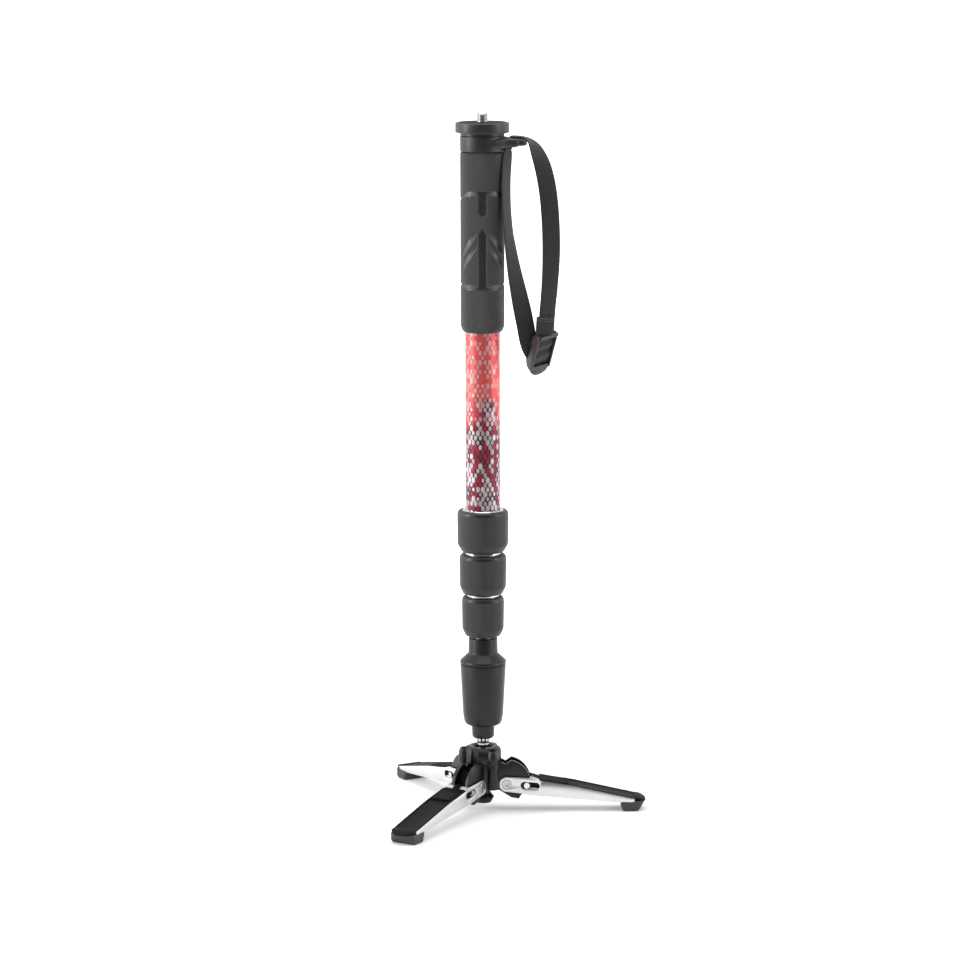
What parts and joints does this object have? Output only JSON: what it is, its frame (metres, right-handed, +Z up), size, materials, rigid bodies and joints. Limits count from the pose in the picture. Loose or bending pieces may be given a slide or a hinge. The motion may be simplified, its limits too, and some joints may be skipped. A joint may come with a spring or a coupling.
{
  "type": "camera monopod",
  "caption": "Telescoping camera monopod with twist locks, a fluid pan cartridge, a tilting ball base on folding feet, a rubber grip and a wrist strap.",
  "frame": {"origin": "where the column's axis meets the floor that the three feet stand on", "axes": "+Z up along the column, +X out along the first leg, the picture's viewer on -Y"},
  "size_m": [0.2139, 0.2432, 0.5896],
  "materials": {
    "black_gloss": "glossy moulded",
    "black_satin": "satin moulded",
    "collar_rubber": "fine knurl",
    "grip_rubber": "fine diamond knurl",
    "charcoal_alloy": "satin charcoal coat",
    "satin_alloy": "brushed satin",
    "tube_alloy": "plain anodised",
    "printed_tube": "printed, semi gloss",
    "polished_steel": "polished",
    "nylon": "natural nylon",
    "shoe_rubber": "soft matte rubber",
    "webbing": "woven nylon webbing"
  },
  "bodies": {
    "hub": {"hub_body": "black_gloss", "hub_cap": "black_gloss", "hub_screws": "polished_steel"},
    "liner": {"ball_liner": "nylon"},
    "stem": {"ball_stem": "polished_steel", "damper_rotor": "tube_alloy", "shaft_nut": "polished_steel"},
    "cartridge": {"shaft_boot": "black_satin", "fluid_housing": "black_satin", "fluid_cap": "black_satin", "lower_bearing": "polished_steel", "upper_bearing": "polished_steel", "fluid_seal": "shoe_rubber", "tube_4": "tube_alloy", "guide_bush_4": "nylon"},
    "section_3": {"tube_3": "tube_alloy", "guide_bush_3": "nylon", "lock_sleeve_3": "polished_steel", "lock_collet_3": "nylon"},
    "section_2": {"tube_2": "tube_alloy", "guide_bush_2": "nylon", "lock_sleeve_2": "polished_steel", "lock_collet_2": "nylon"},
    "head": {"tube_1": "printed_tube", "lock_sleeve_1": "polished_steel", "lock_collet_1": "nylon", "grip": "grip_rubber", "head_plug": "tube_alloy", "top_plate": "charcoal_alloy", "top_pad": "shoe_rubber", "camera_screw": "polished_steel"},
    "collar_1": {"lock_collar_1": "collar_rubber"},
    "collar_2": {"lock_collar_2": "collar_rubber"},
    "collar_3": {"lock_collar_3": "collar_rubber"},
    "strap_loop": {"strap_ring": "black_satin", "wrist_strap": "webbing", "strap_buckle": "black_satin"},
    "leg_1": {"leg_1_channel": "satin_alloy", "leg_1_cover": "black_satin", "leg_1_pivot_screw": "polished_steel", "leg_1_washers": "nylon", "leg_1_shoe": "shoe_rubber"},
    "slider_1": {"leg_1_slider": "black_satin", "leg_1_latch_studs": "polished_steel"},
    "leg_2": {"leg_2_channel": "satin_alloy", "leg_2_cover": "black_satin", "leg_2_pivot_screw": "polished_steel", "leg_2_washers": "nylon", "leg_2_shoe": "shoe_rubber"},
    "slider_2": {"leg_2_slider": "black_satin", "leg_2_latch_studs": "polished_steel"},
    "leg_3": {"leg_3_channel": "satin_alloy", "leg_3_cover": "black_satin", "leg_3_pivot_screw": "polished_steel", "leg_3_washers": "nylon", "leg_3_shoe": "shoe_rubber"},
    "slider_3": {"leg_3_slider": "black_satin", "leg_3_latch_studs": "polished_steel"}
  },
  "joints": [
    {"name": "leg_1_fold", "type": "hinge", "parent": "hub", "child": "leg_1", "pos_m": [0.0199, 0, 0.0238], "axis": [0, -1, 0], "range_deg": [0, 81]},
    {"name": "leg_1_latch", "type": "slide", "parent": "leg_1", "child": "slider_1", "axis": [0.9979, 0, -0.0645], "range_m": [-0.0015, 0.0075], "stiffness_N_per_m": 400},
    {"name": "leg_2_fold", "type": "hinge", "parent": "hub", "child": "leg_2", "pos_m": [-0.00995, 0.01723, 0.0238], "axis": [0.866, 0.5, 0], "range_deg": [0, 81]},
    {"name": "leg_2_latch", "type": "slide", "parent": "leg_2", "child": "slider_2", "axis": [-0.499, 0.8642, -0.0645], "range_m": [-0.0015, 0.0075], "stiffness_N_per_m": 400},
    {"name": "leg_3_fold", "type": "hinge", "parent": "hub", "child": "leg_3", "pos_m": [-0.00995, -0.01723, 0.0238], "axis": [-0.866, 0.5, 0], "range_deg": [0, 81]},
    {"name": "leg_3_latch", "type": "slide", "parent": "leg_3", "child": "slider_3", "axis": [-0.499, -0.8642, -0.0645], "range_m": [-0.0015, 0.0075], "stiffness_N_per_m": 400},
    {"name": "tilt_first", "type": "hinge", "parent": "hub", "child": "liner", "pos_m": [0, 0, 0.0453], "axis": [-0.2588, 0.9659, 0], "range_deg": [-7, 7]},
    {"name": "tilt_second", "type": "hinge", "parent": "liner", "child": "stem", "pos_m": [0, 0, 0.0453], "axis": [-0.9659, -0.2588, 0], "range_deg": [-7, 7]},
    {"name": "pan", "type": "hinge", "parent": "stem", "child": "cartridge", "pos_m": [0, 0, 0.0453], "axis": [0, 0, 1], "continuous": true},
    {"name": "section_3_slide", "type": "slide", "parent": "cartridge", "child": "section_3", "axis": [0, 0, 1], "range_m": [0, 0.34]},
    {"name": "section_2_slide", "type": "slide", "parent": "section_3", "child": "section_2", "axis": [0, 0, 1], "range_m": [0, 0.305]},
    {"name": "head_slide", "type": "slide", "parent": "section_2", "child": "head", "axis": [0, 0, 1], "range_m": [0, 0.27]},
    {"name": "collar_3_twist", "type": "hinge", "parent": "section_3", "child": "collar_3", "pos_m": [0, 0, 0.2], "axis": [0, 0, 1], "range_deg": [0, 90]},
    {"name": "collar_2_twist", "type": "hinge", "parent": "section_2", "child": "collar_2", "pos_m": [0, 0, 0.2], "axis": [0, 0, 1], "range_deg": [0, 90]},
    {"name": "collar_1_twist", "type": "hinge", "parent": "head", "child": "collar_1", "pos_m": [0, 0, 0.2], "axis": [0, 0, 1], "range_deg": [0, 90]},
    {"name": "strap_ring_turn", "type": "hinge", "parent": "head", "child": "strap_loop", "pos_m": [0, 0, 0.5648], "axis": [0, 0, 1], "continuous": true}
  ]
}
